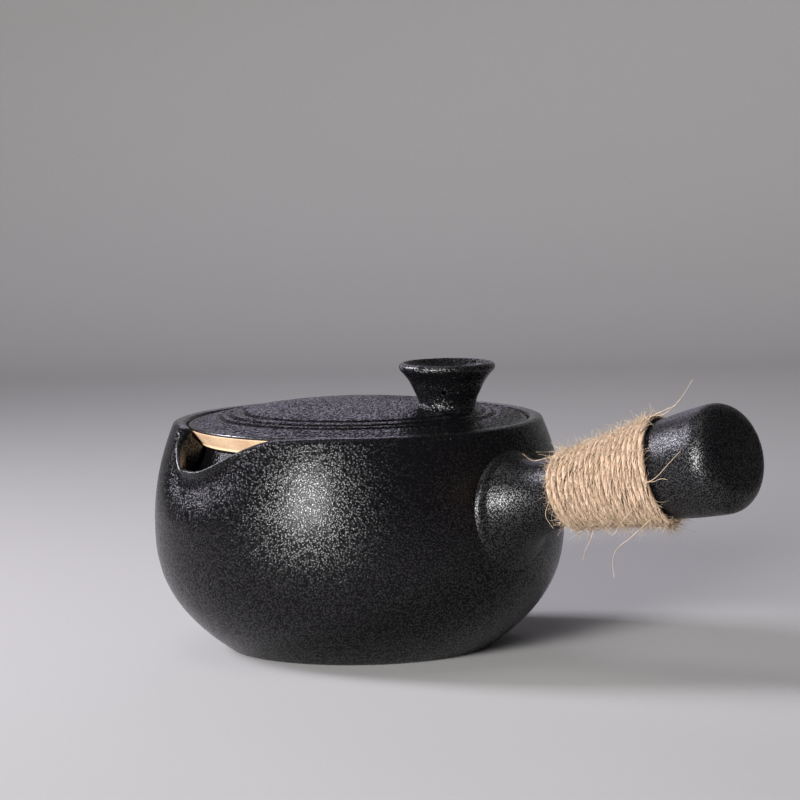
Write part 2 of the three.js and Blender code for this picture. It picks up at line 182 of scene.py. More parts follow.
def iron_glaze(where, grain, depth, shine, roughness_range):
    """Glaze with grains of a width and a depth in mm, the shine of their tops and their roughness."""
    material, add = new_material(f"iron_black_glaze_on_{where}")
    place = add("TexCoord", {})["Object"]
    smooth_edge = add("Attribute", {}, attribute_name="smooth_edge")["Fac"]
    cells = add("TexVoronoi", {"Vector": place, "Scale": per_metre(grain)})
    own = add("SeparateColor", {"Color": cells["Color"]})
    dome = add(
        "MapRange",
        {
            "Value": cells["Distance"], "From Min": GRAIN_TOP_REACH, "From Max": GRAIN_FOOT_REACH,
            "To Min": 1, "To Max": 0,
        },
        interpolation_type="SMOOTHSTEP",
    )[0]
    own_height = add("MapRange", {"Value": own["Red"], "To Min": LOWEST_GRAIN, "To Max": HIGHEST_GRAIN})[0]
    grains = add("Math", {0: dome, 1: own_height}, operation="MULTIPLY")[0]
    fine = add("TexNoise", {"Vector": place, "Scale": per_metre(grain / FINE_GRAINS_ACROSS), "Detail": 1})[0]
    uneven = add("TexNoise", {"Vector": place, "Scale": per_metre(UNEVENNESS), "Detail": 1})[0]
    relief = add("Math", {0: fine, 1: FINE_SHARE, 2: grains}, operation="MULTIPLY_ADD")[0]
    relief = add("Math", {0: uneven, 1: UNEVEN_SHARE, 2: relief}, operation="MULTIPLY_ADD")[0]
    strength = add("MapRange", {"Value": smooth_edge, "To Min": 1, "To Max": EDGE_BUMP})[0]
    bump = add("Bump", {"Height": relief, "Distance": depth * MM, "Strength": strength})[0]
    own_roughness = add(
        "MapRange", {"Value": own["Green"], "To Min": roughness_range[0], "To Max": roughness_range[1]}
    )[0]
    roughness = add("MapRange", {"Value": smooth_edge, "To Min": own_roughness, "To Max": EDGE_ROUGHNESS})[0]
    open_sky = add("MapRange", {"Value": dome, "To Min": GAP_REFLECTION, "To Max": shine})[0]
    reflection = add("MapRange", {"Value": smooth_edge, "To Min": open_sky, "To Max": 1})[0]
    freckle = add("MapRange", {"Value": own["Blue"], "From Min": FRECKLES_FROM, "From Max": 1})[0]
    colour = add(
        "Mix",
        {FACTOR: freckle, COLOUR_A: linear(GLAZE_BLACK), COLOUR_B: linear(FRECKLE_BROWN)},
        data_type="RGBA",
    )[COLOUR_OUT]
    skin = add(
        "BsdfPrincipled",
        {
            "Base Color": colour, "Roughness": roughness, "Normal": bump, "IOR": GLAZE_IOR,
            "Specular IOR Level": reflection,
        },
    )
    add("OutputMaterial", {"Surface": skin[0]})
    return material


body_glaze = iron_glaze("body", BODY_GRAIN, depth=0.05, shine=0.53, roughness_range=(0.12, 0.32))
lid_glaze = iron_glaze("lid", LID_GRAIN, depth=0.05, shine=0.2, roughness_range=(0.12, 0.34))
knob_glaze = iron_glaze("knob", BODY_GRAIN, depth=0.09, shine=0.9, roughness_range=(0.12, 0.34))
handle_glaze = iron_glaze("handle", HANDLE_GRAIN, depth=0.028, shine=0.95, roughness_range=(0.32, 0.46))

# %% [markdown]
# ## Bare stoneware
# Where the glaze is wiped off, the fired clay shows: a warm tan with fine sand in it, quite matt, and with
# faint rings from the wheel. Two noises make the sand and the soft clouds of colour, and a third one, which
# is squeezed in height, makes the rings.

# %% Bare clay
SAND = 0.5
CLOUDS = 9
WHEEL_RINGS = 0.8
RING_SQUEEZE = 0.05
SAND_RELIEF = 0.06
CLAY_TAN = "#cda683"
CLAY_CREAM = "#ecd0ac"


def bare_stoneware(name):
    """Unglazed clay with sand, clouds of colour and wheel rings."""
    material, add = new_material(name)
    place = add("TexCoord", {})["Object"]
    sand = add("TexNoise", {"Vector": place, "Scale": per_metre(SAND), "Detail": 4, "Roughness": 0.65})[0]
    clouds = add("TexNoise", {"Vector": place, "Scale": per_metre(CLOUDS), "Detail": 3})[0]
    squeezed = add("Mapping", {"Vector": place, "Scale": (RING_SQUEEZE, RING_SQUEEZE, 1)})[0]
    rings = add("TexNoise", {"Vector": squeezed, "Scale": per_metre(WHEEL_RINGS), "Detail": 2})[0]
    blend = add("Math", {0: sand, 1: clouds}, operation="ADD")[0]
    share = add("MapRange", {"Value": blend, "From Min": 0.75, "From Max": 1.25})[0]
    colour = add(
        "Mix", {FACTOR: share, COLOUR_A: linear(CLAY_TAN), COLOUR_B: linear(CLAY_CREAM)}, data_type="RGBA"
    )[COLOUR_OUT]
    relief = add("Math", {0: sand, 1: rings}, operation="ADD")[0]
    bump = add("Bump", {"Height": relief, "Distance": SAND_RELIEF * MM, "Strength": 0.7})[0]
    skin = add("BsdfPrincipled", {"Base Color": colour, "Roughness": 0.82, "Normal": bump, "IOR": 1.5})
    add("OutputMaterial", {"Surface": skin[0]})
    return material


bare_clay = bare_stoneware("bare_tan_stoneware")

# %% [markdown]
# ## Jute
# Jute is a dull golden plant fibre. Along a strand it is streaked, from pale straw to brown where fibres
# lie in each other's shade. The streaks follow each strand, so they are laid out in the strand's own
# coordinates: long along it and narrow across it. Deep between two turns the yarn is painted darker, as
# painted shade where the turns shade each other, and each mesh says how deep, point by point. A little sheen
# stands for the fuzz too fine to model.

# %% Jute
STREAK_LENGTH = 3
STREAKS_AROUND = 9
STREAK_RELIEF = 0.1


def jute(name, deep, dark, pale):
    """Streaks from dark to pale along each strand, and a deep colour painted as shade between two turns."""
    material, add = new_material(name)
    # Painted shade: points deep between two turns take the deep colour, and points on a crest keep the
    # streaks.
    out_of_painted_shade = add("Attribute", {}, attribute_name="out_of_painted_shade")["Fac"]
    strand = add("UVMap", {}, uv_map="along_strand")[0]
    stretched = add("Mapping", {"Vector": strand, "Scale": (1 / STREAK_LENGTH, STREAKS_AROUND, 1)})[0]
    streaks = add("TexNoise", {"Vector": stretched, "Scale": 1, "Detail": 4, "Roughness": 0.7})[0]
    share = add("MapRange", {"Value": streaks, "From Min": 0.4, "From Max": 0.64})[0]
    streaked = add(
        "Mix", {FACTOR: share, COLOUR_A: linear(dark), COLOUR_B: linear(pale)}, data_type="RGBA"
    )[COLOUR_OUT]
    colour = add(
        "Mix", {FACTOR: out_of_painted_shade, COLOUR_A: linear(deep), COLOUR_B: streaked}, data_type="RGBA"
    )[COLOUR_OUT]
    bump = add("Bump", {"Height": streaks, "Distance": STREAK_RELIEF * MM, "Strength": 0.8})[0]
    skin = add(
        "BsdfPrincipled",
        {
            "Base Color": colour, "Roughness": 0.8, "Normal": bump, "IOR": 1.5,
            "Sheen Weight": 0.15, "Sheen Roughness": 0.4,
        },
    )
    add("OutputMaterial", {"Surface": skin[0]})
    return material


# The first colour of each is the painted shade deep between turns; the other two make the streaks.
yarn_jute = jute("twisted_jute", "#4e331c", "#9c7550", "#eed8c4")
fibre_jute = jute("loose_jute_fibre", "#6b4c2c", "#8c6838", "#f3e0c8")

# %% [markdown]
# ## A skin between rings
# Everything a wheel makes is a stack of rings. One helper joins a grid of points, ring after ring, into a
# mesh, and closes it with a point on the axis where the form ends there. Building the grid by formula, not
# by a modifier, lets us bend the rings later, which the lip needs. A grid of numbers says which faces take
# the second material, for the places where the glaze is wiped off. Another one says how far the glaze has run
# smooth at each point.

# %% Grid of rings to mesh
def new_piece(name, points, faces, materials):
    """A smooth mesh object from points in millimetres."""
    mesh = bpy.data.meshes.new(name)
    mesh.from_pydata((np.asarray(points) * MM).tolist(), [], faces)
    mesh.shade_smooth()
    for material in materials:
        mesh.materials.append(material)
    piece = bpy.data.objects.new(name, mesh)
    bpy.context.scene.collection.objects.link(piece)
    return piece


def ring_mesh(name, rings, materials, first_pole, last_pole, finish=None, smooth_edge=None):
    """Joins rings x columns x 3 points to a closed skin. Columns run anticlockwise."""
    rows, columns, _ = rings.shape
    index = np.arange(rows * columns).reshape(rows, columns)
    right = np.roll(index, -1, axis=1)
    faces = np.stack([index[:-1], right[:-1], right[1:], index[1:]], axis=-1).reshape(-1, 4).tolist()
    faces += [[index.size, right[0, i], index[0, i]] for i in range(columns)]
    faces += [[index.size + 1, index[-1, i], right[-1, i]] for i in range(columns)]
    piece = new_piece(name, np.vstack([rings.reshape(-1, 3), first_pole, last_pole]), faces, materials)
    if finish is not None:
        numbers = np.concatenate([finish.ravel(), np.repeat([finish[0, 0], finish[-1, 0]], columns)])
        piece.data.polygons.foreach_set("material_index", numbers.astype(np.int32))
    if smooth_edge is not None:
        layer = piece.data.attributes.new("smooth_edge", "FLOAT", "POINT")
        layer.data.foreach_set("value", np.concatenate([smooth_edge.ravel(), [0, 0]]))
    print(f"{name}: {len(piece.data.vertices)} points, {len(faces)} faces")
    return piece


# %% [markdown]
# ## A smooth line through a few knots
# A section is drawn with as few knots as its shape needs. Two helpers turn it into a fine line. The first
# swaps each marked corner for four knots close round it, because no edge of a fired pot is sharp. The second
# runs a smooth curve through all knots. Both work on a whole fan of sections at once, one for each column,
# and keep a mark for each row, its place counted in knots. A few more helpers turn and blend the sections.

# %% Corners
CORNER_REACH_SHARE = 0.22
MARK_STEP = 0.1


def ease_corners(knots, rounds):
    """Swaps each knot with a round, in mm, for four knots round the corner. Knots are rows x columns x 2."""
    eased, marks = [], []
    for row, reach in enumerate(rounds):
        corner = knots[row]
        if not reach:
            eased.append(corner)
            marks.append(row)
            continue
        ways = [knots[row - 1] - corner, knots[row + 1] - corner]
        lengths = [np.linalg.norm(way, axis=1, keepdims=True) for way in ways]
        near = np.minimum(reach, CORNER_REACH_SHARE * np.minimum(*lengths))
        before, after = (way / length * near for way, length in zip(ways, lengths))
        eased += [corner + 2 * before, corner + before, corner + after, corner + 2 * after]
        marks += [row - 2 * MARK_STEP, row - MARK_STEP, row + MARK_STEP, row + 2 * MARK_STEP]
    return np.array(eased), np.array(marks, float)


# %% Curves
LEAST_STEP = 1e-6


def smooth_through(knots, marks, spacing):
    """Rows about a spacing apart on a smooth curve through all knots, and the mark of each row."""
    steps = knots[1:] - knots[:-1]
    lengths = np.maximum(np.linalg.norm(steps, axis=2, keepdims=True), LEAST_STEP)
    slopes = steps / lengths
    inner = (slopes[1:] * lengths[:-1] + slopes[:-1] * lengths[1:]) / (lengths[:-1] + lengths[1:])
    tangents = np.concatenate([slopes[:1], inner, slopes[-1:]])
    rows, row_marks = [], []
    for i, length in enumerate(lengths):
        count = max(1, round(float(length.mean()) / spacing))
        for t in np.arange(count) / count:
            rows.append(
                (2 * t**3 - 3 * t**2 + 1) * knots[i]
                + (t**3 - 2 * t**2 + t) * length * tangents[i]
                + (3 * t**2 - 2 * t**3) * knots[i + 1]
                + (t**3 - t**2) * length * tangents[i + 1]
            )
            row_marks.append(marks[i] + (marks[i + 1] - marks[i]) * t)
    return np.array(rows + [knots[-1]]), np.array(row_marks + [marks[-1]])


# %% Turning and blending
def turned(section, angles):
    """Sections of (radius, height) pairs, rows x columns x 2, set round the upright axis."""
    radius, height = section[..., 0], section[..., 1]
    return np.stack([radius * np.cos(angles), radius * np.sin(angles), height], axis=-1)


def full_turn(columns):
    """Angles of the columns of a full turn."""
    return np.arange(columns) * 2 * math.pi / columns


def smooth_rise(share):
    """A share from nothing to one, eased at both ends."""
    share = np.clip(share, 0, 1)
    return share * share * (3 - 2 * share)


def mix(a, b, share):
    """The value at a share of the way from a to b."""
    return a + (b - a) * share


def near_mark(marks, middle, reach):
    """One for the rows at a mark, falling to nothing as far away as the reach."""
    return smooth_rise(1 - np.abs(marks - middle) / reach)[:, None]


# %% [markdown]
# ## The pot
# The belly swells from a narrow flat foot and draws in to a soft shoulder. Inside the mouth lies a bevelled
# seat for the lid. Two sections describe all of it: the plain one, and the one through the middle of the
# lip. They have the same number of knots, so each column of the pot is simply a mix of the two, plain all
# round and fully lip at the lip's middle.

# %% Sizes of the pot
FOOT_RADIUS = 33.5
BELLY_HEIGHT = 33
SHOULDER_RADIUS = 47.6
RIM_ROUND = 1.3
MOUTH_ROUND = 0.9
WALL = 3.2
FLOOR = 4.5
FOOT_CURVE_POWER = 2.6
RIM_WIDTH = 3.85
MOUTH_DEPTH = 1.75
SEAT_INSET = 2.9
SEAT_DROP = 3.2
THROAT_DEPTH = 0.95
LEDGE_UNDERSIDE_DROP = 5.1
CENTRE_REST = 4

SHOULDER_HEIGHT = RIM_HEIGHT - RIM_ROUND
MOUTH_RADIUS = SHOULDER_RADIUS - RIM_WIDTH
SEAT_TOP = RIM_HEIGHT - MOUTH_DEPTH
SEAT_BOTTOM = SEAT_TOP - SEAT_DROP
THROAT_RADIUS = MOUTH_RADIUS - SEAT_INSET
THROAT_BOTTOM = SEAT_BOTTOM - THROAT_DEPTH

LIP_ANGLE = math.radians(-107)
LIP_NEAR_SPAN = math.radians(31)
LIP_FAR_SPAN = math.radians(16.5)
LIP_NEAR_STEEPNESS = 1.06
LIP_FAR_STEEPNESS = 1.35
LIP_FLARE_POWER = 0.6
LIP_FLARE_START = 0.45
LIP_TAIL = 0.24
LIP_NEAR_TAIL_SPAN = math.radians(52)
LIP_FAR_TAIL_SPAN = math.radians(24)
LIP_DROP = 9.5
LIP_REACH = 6.2
LIP_THICKNESS = 1.5
LIP_WAIST_DEPTH = 1.2
LIP_HEIGHT = RIM_HEIGHT - LIP_DROP
LIP_EDGE_RADIUS = MOUTH_RADIUS + LIP_REACH
LIP_WAIST_RADIUS = LIP_EDGE_RADIUS + LIP_THICKNESS / 2 - LIP_WAIST_DEPTH

LOWER_WALL_SHARES = [0.05, 0.13, 0.25, 0.4, 0.58, 0.78, 1]
UPPER_WALL_SHARES = [0.25, 0.45, 0.62, 0.77, 0.9, 1]
INSIDE_WALL_SHARES = [0.94, 0.7, 0.45, 0.24, 0.1, 0]
LIP_WALL_SHARES = [(0.08, 0.23), (0.33, 0.43), (0.65, 0.59), (0.9, 0.72), (1, 0.83), (0.97, 0.91)]
LIP_THINNING_SHARES = [1, 0.94, 0.78, 0.55, 0.25, 0]
LIP_EDGE_SHARES = [0, 1 / 3, 2 / 3, 1]
print(f"Mouth radius {MOUTH_RADIUS:.1f} mm, lip {LIP_DROP} mm below the rim")


# %% Walls and arcs
def outside_radius(height):
    """Radius of the pot's plain outside at a height."""
    below = np.clip((BELLY_HEIGHT - height) / BELLY_HEIGHT, 0, 1)
    above = np.clip((height - BELLY_HEIGHT) / (SHOULDER_HEIGHT - BELLY_HEIGHT), 0, None)
    drawn_in = (BELLY_RADIUS - FOOT_RADIUS) * below**FOOT_CURVE_POWER
    return BELLY_RADIUS - drawn_in - (BELLY_RADIUS - SHOULDER_RADIUS) * above**2


def inside_radius(height):
    """Radius of the pot's plain inside at a height."""
    if height > BELLY_HEIGHT:
        return outside_radius(height) - WALL
    depth_share = (BELLY_HEIGHT - height) / (BELLY_HEIGHT - FLOOR)
    widest = BELLY_RADIUS - WALL
    return widest - (widest - FOOT_RADIUS) * depth_share**FOOT_CURVE_POWER


def arc(centre, radius, half_turn_shares):
    """Points of an arc, at shares of a half turn counted from the outward radius upwards."""
    turns = [math.pi * share for share in half_turn_shares]
    return [(centre[0] + radius * math.cos(turn), centre[1] + radius * math.sin(turn)) for turn in turns]


def wall_points(radius_at, low, high, shares):
    """Points of a wall, at shares of the way from one height to another."""
    heights = [mix(low, high, share) for share in shares]
    return [(radius_at(height), height) for height in heights]


# %% Sections of the pot
lower_outside = wall_points(outside_radius, 0, BELLY_HEIGHT, LOWER_WALL_SHARES)
upper_outside = wall_points(outside_radius, BELLY_HEIGHT, SHOULDER_HEIGHT, UPPER_WALL_SHARES)
rim = [
    *arc((SHOULDER_RADIUS - RIM_ROUND, SHOULDER_HEIGHT), RIM_ROUND, [0.25, 0.5]),
    *arc((MOUTH_RADIUS + MOUTH_ROUND, RIM_HEIGHT - MOUTH_ROUND), MOUTH_ROUND, [0.5, 0.75, 1]),
]
seat = [(MOUTH_RADIUS, SEAT_TOP), (THROAT_RADIUS, SEAT_BOTTOM), (THROAT_RADIUS, THROAT_BOTTOM)]
under_ledge = wall_points(inside_radius, BELLY_HEIGHT, THROAT_BOTTOM - LEDGE_UNDERSIDE_DROP, [1, 0.5])
lower_inside = wall_points(inside_radius, FLOOR, BELLY_HEIGHT, INSIDE_WALL_SHARES)
lip_wall = [
    (mix(BELLY_RADIUS, LIP_WAIST_RADIUS, drawn), mix(BELLY_HEIGHT, LIP_HEIGHT, rise))
    for drawn, rise in LIP_WALL_SHARES
]
lip_inside = [
    (radius - mix(LIP_THICKNESS, WALL, share), height)
    for (radius, height), share in zip(lip_wall, LIP_THINNING_SHARES)
]
lip_edge = arc((LIP_EDGE_RADIUS, LIP_HEIGHT - LIP_THICKNESS / 2), LIP_THICKNESS / 2, LIP_EDGE_SHARES)

start_knots = [(CENTRE_REST, 0), (FOOT_RADIUS, 0), *lower_outside]
end_knots = [*lower_inside, (CENTRE_REST, FLOOR)]
first_upper = len(start_knots)
plain_section = np.array([*start_knots, *upper_outside, *rim, *seat, *under_ledge, *end_knots])
lip_section = np.array([*start_knots, *lip_wall, *lip_edge, *reversed(lip_inside), *end_knots])
print(f"The pot's section has {len(plain_section)} knots")

# %% [markdown]
# ## Pulling the lip
# The share of lip at an angle falls smoothly from one in its middle to none at its ends, and faster on the
# side away from the handle, where the finger pressed and drew a little of the rim along. The rim's height
# follows that share. Its radius waits until the rim has dipped and then flares fast, so the lip stands open.
# The bevelled seat is wiped bare, and so is the underside of the foot, because glaze there would stick.

# %% Share of lip round the pot
def lip_share(angles):
    """Share of lip at angles round the pot: a steep middle, and a low tail on both sides."""
    turn = (angles - LIP_ANGLE + math.pi) % (2 * math.pi) - math.pi
    near = LIP_NEAR_STEEPNESS * (1 - turn / LIP_NEAR_SPAN)
    far = LIP_FAR_STEEPNESS * (1 + turn / LIP_FAR_SPAN)
    steep = smooth_rise(np.where(turn > 0, near, far))
    tail_span = np.where(turn > 0, LIP_NEAR_TAIL_SPAN, LIP_FAR_TAIL_SPAN)
    tail = LIP_TAIL * smooth_rise(1 - np.abs(turn) / tail_span)
    return steep + (1 - steep) ** 2 * tail


POT_COLUMNS = 336
pot_angles = full_turn(POT_COLUMNS)
pot_lip_share = lip_share(pot_angles)
pot_flare_share = pot_lip_share**LIP_FLARE_POWER * smooth_rise(pot_lip_share / LIP_FLARE_START)
print(f"The lip takes up {np.count_nonzero(pot_lip_share)} of {POT_COLUMNS} columns")

# %% Skin of the pot
POT_ROW_SPACING = 0.85
EDGE_ROUND = 0.32
FOOT_ROUND = 0.9
FLOOR_ROUND = 2.5
PLAIN_LIP_SHARE = 0.03
SMOOTH_START_SHARE = 0.35
SMOOTH_RUN_SHARE = 0.5
LIP_SMOOTH_REACH = 2.4
GLAZED, BARE = 0, 1

pot_knots = np.stack([
    mix(plain_section[:, None, 0], lip_section[:, None, 0], pot_flare_share),
    mix(plain_section[:, None, 1], lip_section[:, None, 1], pot_lip_share),
], axis=-1)
foot_row = 1
seat_row = first_upper + len(upper_outside) + len(rim)
ledge_row = seat_row + len(seat)
edge_row = first_upper + len(lip_wall) + len(lip_edge) // 2
pot_rounds = np.zeros(len(plain_section))
pot_rounds[foot_row] = FOOT_ROUND
pot_rounds[seat_row:ledge_row] = EDGE_ROUND
pot_rounds[ledge_row] = FLOOR_ROUND
pot_rounds[-2] = FLOOR_ROUND
pot_rows, pot_marks = smooth_through(*ease_corners(pot_knots, pot_rounds), POT_ROW_SPACING)
gap_marks = (pot_marks[1:] + pot_marks[:-1]) / 2
on_seat = (gap_marks > seat_row) & (gap_marks < seat_row + 1)
under_foot = gap_marks < foot_row
wiped = under_foot[:, None] | (on_seat[:, None] & (pot_lip_share < PLAIN_LIP_SHARE))
on_lip_edge = near_mark(pot_marks, edge_row, LIP_SMOOTH_REACH)
pot_smooth_edge = on_lip_edge * smooth_rise((pot_lip_share - SMOOTH_START_SHARE) / SMOOTH_RUN_SHARE)
pot_skin = ring_mesh(
    "pot_skin", turned(pot_rows, pot_angles), [body_glaze, bare_clay],
    (0, 0, 0), (0, 0, FLOOR), np.where(wiped, BARE, GLAZED), pot_smooth_edge,
)
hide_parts("pot_body")
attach(pot_skin, "pot")

# %% [markdown]
# ## Cutting holes
# Holes in clay are pierced with a straight tool. A boolean modifier cuts them with a rod and is applied at
# once, so that the piece keeps a plain mesh. The rods are deleted when the cut is made.

# %% A rod, and a cut
ROD_SIDES = 32


def rod(start, end, radius):
    """A closed round rod between two points, in millimetres, to cut with."""
    along = Vector(end - start).normalized()
    side = np.array(along.orthogonal().normalized())
    across = np.cross(along, side)
    turns = full_turn(ROD_SIDES)[:, None]
    circle = radius * (side * np.cos(turns) + across * np.sin(turns))
    return ring_mesh("cutting_rod", np.array([start + circle, end + circle]), [], start, end)


def cut(piece, rods):
    """Cuts the rods out of the piece and deletes them."""
    for cutter in rods:
        boolean = piece.modifiers.new("pierced", "BOOLEAN")
        boolean.operation = "DIFFERENCE"
        boolean.solver = "EXACT"
        boolean.object = cutter
    evaluated = piece.evaluated_get(bpy.context.evaluated_depsgraph_get())
    mesh = bpy.data.meshes.new_from_object(evaluated)
    piece.modifiers.clear()
    piece.data = mesh
    for cutter in rods:
        bpy.data.objects.remove(cutter)
    print(f"{piece.name}: {len(rods)} holes cut, {len(mesh.polygons)} faces")


# %% [markdown]
# ## The lid
# The lid is a low dome with a thin edge, a bevel that drops into the seat, and a flange that keeps it there
# while the pot is tipped. Three fine grooves are turned into its top. It is glazed on top only: where it
# touches the pot the clay is wiped bare, or the two would fuse in the kiln. The glaze ends in a small rounded
# roll low on the edge, which catches the light as a thin pale line.

# %% Sizes of the lid
LID_SIDE_GAP = 0.35
LID_SEAT_GAP = 0.3
LID_EDGE_THICKNESS = 0.9
LID_ROOF = 3
LID_FLANGE_DEPTH = 0.6
LID_FLANGE_THICKNESS = 2.6
GROOVE_RADIUS_SHARES = [0.68, 0.76, 0.82]
GROOVE_HALF_WIDTH = 0.95
GROOVE_DEPTH = 0.5
LID_COLUMNS = 1080
LID_ROW_SPACING = 0.8
LID_TOP_SPACING = 0.24

LID_EDGE_BOTTOM = SEAT_TOP + LID_SEAT_GAP
LID_EDGE_TOP = LID_EDGE_BOTTOM + LID_EDGE_THICKNESS
FLANGE_RADIUS = THROAT_RADIUS - LID_SIDE_GAP
FLANGE_INSIDE = FLANGE_RADIUS - LID_FLANGE_THICKNESS
BEVEL_BOTTOM = LID_EDGE_BOTTOM - SEAT_DROP
FLANGE_BOTTOM = BEVEL_BOTTOM - LID_FLANGE_DEPTH
print(f"The lid's edge stands {LID_EDGE_TOP - SEAT_TOP:.1f} mm over its seat, which is {SEAT_DROP} mm deep")


# %% Top of the lid
def crown_height(radius):
    """Height of the lid's dome, without its grooves."""
    return LID_EDGE_TOP + (LID_TOP - LID_EDGE_TOP) * (1 - (radius / LID_RADIUS) ** 2)


def lid_top_height(radius):
    """Height of the lid's dome with its grooves."""
    height = crown_height(radius)
    for share in GROOVE_RADIUS_SHARES:
        away = np.clip(np.abs(radius - share * LID_RADIUS) / GROOVE_HALF_WIDTH, 0, 1)
        height = height - GROOVE_DEPTH * (1 + np.cos(math.pi * away)) / 2
    return height


# %% [markdown]
# ## Grains in the lid's own shape
# The lid is seen almost edge on, where a bump in a material fails, because it can't hide the far side of a
# grain. So the lid's grains are real: its rings are close together, and each point is raised by its place
# in a field of cells. Every cell of a square grid holds one seeded point, and the height falls from one at
# the nearest such point to nothing at the gap between two.

# %% Field of grains
GRAIN_SEED = 5
GRAIN_TABLE = 256
GRAIN_SPAN = 0.66
LEAST_GRAIN = 0.45
MOST_GRAIN = 1.1
FARTHER_THAN_ANY = 2.0


def grain_height(x, y, size):
    """Height, from 0 to about 1, of a field of round grains of a size, at places in millimetres."""
    table = np.random.default_rng(GRAIN_SEED).random((3, GRAIN_TABLE, GRAIN_TABLE))
    column, row = np.floor(x / size).astype(int), np.floor(y / size).astype(int)
    nearest, own = np.full(x.shape, FARTHER_THAN_ANY), np.zeros(x.shape)
    for right in (-1, 0, 1):
        for up in (-1, 0, 1):
            shift_x, shift_y, height = table[:, (column + right) % GRAIN_TABLE, (row + up) % GRAIN_TABLE]
            away = np.hypot(column + right + shift_x - x / size, row + up + shift_y - y / size)
            own = np.where(away < nearest, height, own)
            nearest = np.minimum(away, nearest)
    return smooth_rise(1 - nearest / GRAIN_SPAN) * mix(LEAST_GRAIN, MOST_GRAIN, own)


# %% Skin of the lid
LID_GRAIN_WIDTH = 0.75
LID_GRAIN_HEIGHT = 0.2
MEAN_GRAIN = 0.5
UNDERSIDE_SHARES = [0.1, 0.4, 0.72, 1]
LID_ROUNDS = [0, 0, 0, 1.2, 0.5, 0.5, 0.4, 0.2, 0.05, 0, 0, 0, 0, 0]
GLAZE_START_MARK = 8.05
GLAZE_ROLL_MARK = 10
GLAZE_ROLL_REACH = 2.3
GRAINS_FADE_IN = 0.5
GLAZE_ROLL = 0.16
GLAZE_EDGE_ROUND = 0.32
BARE_EDGE_SHARE = 0.25
TOP_MARGIN = 1

underside_radii = [FLANGE_INSIDE * share for share in UNDERSIDE_SHARES]
underside = [(radius, crown_height(radius) - LID_ROOF) for radius in underside_radii]
bare_edge_top = mix(LID_EDGE_BOTTOM, LID_EDGE_TOP, BARE_EDGE_SHARE)
lid_knots = np.array([
    *underside,
    (FLANGE_INSIDE, FLANGE_BOTTOM),
    (FLANGE_RADIUS, FLANGE_BOTTOM),
    (FLANGE_RADIUS, BEVEL_BOTTOM),
    (LID_RADIUS - GLAZE_ROLL, LID_EDGE_BOTTOM),
    (LID_RADIUS - GLAZE_ROLL, bare_edge_top),
    (LID_RADIUS, bare_edge_top + GLAZE_ROLL),
    *arc((LID_RADIUS - GLAZE_EDGE_ROUND, LID_EDGE_TOP - GLAZE_EDGE_ROUND), GLAZE_EDGE_ROUND, [0, 0.25, 0.5]),
    (LID_RADIUS - TOP_MARGIN, crown_height(LID_RADIUS - TOP_MARGIN)),
])
rim_rows, rim_marks = smooth_through(*ease_corners(lid_knots[:, None], LID_ROUNDS), LID_ROW_SPACING)
top_radii = np.arange(LID_RADIUS - TOP_MARGIN - LID_TOP_SPACING, LID_TOP_SPACING, -LID_TOP_SPACING)
top_rows = np.stack([top_radii, lid_top_height(top_radii)], axis=-1)[:, None]
lid_angles = full_turn(LID_COLUMNS)
lid_rows = np.concatenate([rim_rows, top_rows]) * np.ones((1, LID_COLUMNS, 1))
top_grains = grain_height(
    top_radii[:, None] * np.cos(lid_angles), top_radii[:, None] * np.sin(lid_angles), LID_GRAIN_WIDTH
)
grains_share = smooth_rise((LID_RADIUS - TOP_MARGIN - top_radii) / GRAINS_FADE_IN)[:, None]
lid_rows[len(rim_rows):, :, 1] += LID_GRAIN_HEIGHT * (top_grains - MEAN_GRAIN) * grains_share
lid_marks = np.concatenate([rim_marks, np.full(len(top_rows), len(lid_knots))])
lid_finish = np.where(lid_marks[1:, None] <= GLAZE_START_MARK, BARE, GLAZED) * np.ones((1, LID_COLUMNS), int)
lid_smooth_edge = near_mark(lid_marks, GLAZE_ROLL_MARK, GLAZE_ROLL_REACH) * np.ones((1, LID_COLUMNS))
lid_skin = ring_mesh(
    "lid_skin", turned(lid_rows, lid_angles), [lid_glaze, bare_clay],
    (0, 0, LID_TOP - LID_ROOF), (0, 0, LID_TOP), lid_finish, lid_smooth_edge,
)

# %% [markdown]
# ## The knob
# The knob stands off the lid's centre, over the steam vent, and flares to a dished top. It is luted on, so
# a small fillet of slip runs round its foot and follows the dome. A bore comes up from the lid, and a small
# eye in its side lets the steam out.

# %% Sizes of the knob
KNOB_OFFSET = 24.4
KNOB_ANGLE = math.radians(21)
KNOB_BASE_RADIUS = 7.2
KNOB_TOP_RADIUS = 12.2
KNOB_HEIGHT = 11.5
KNOB_RIM_ROUND = 0.7
KNOB_DISH = 2.6
KNOB_COLUMNS = 144
KNOB_ROW_SPACING = 0.4
KNOB_FLARE_SHARES = [(0.04, 0.2), (0.27, 0.45), (0.54, 0.71), (0.78, 0.86), (1, 1)]
KNOB_DISH_SHARES = [(0.86, 0.2), (0.6, 0.72), (0.3, 0.95), (0.1, 1)]
FILLET_SHARES = [(1, -0.1), (0.4, 0.3), (0.05, 1)]
FILLET = 0.9
VENT_RADIUS = 1.5
VENT_HEIGHT = 6
EYE_RADIUS = 0.6
EYE_HEIGHT = 4.4
EYE_ANGLE = math.radians(-57)


# %% Axis of the knob
def level(angle):
    """Level unit vector at an angle, counted from the handle."""
    return np.array([math.cos(angle), math.sin(angle), 0])


def on_knob_axis(height):
    """A place on the knob's axis."""
    return KNOB_OFFSET * level(KNOB_ANGLE) + [0, 0, height]


knob_foot = crown_height(KNOB_OFFSET)
print("The knob's foot is centred at", np.round(on_knob_axis(knob_foot), 1), "mm")

# %% Skin of the knob
KNOB_RIM_SMOOTHNESS = 0.5
KNOB_RIM_REACH = 1.1

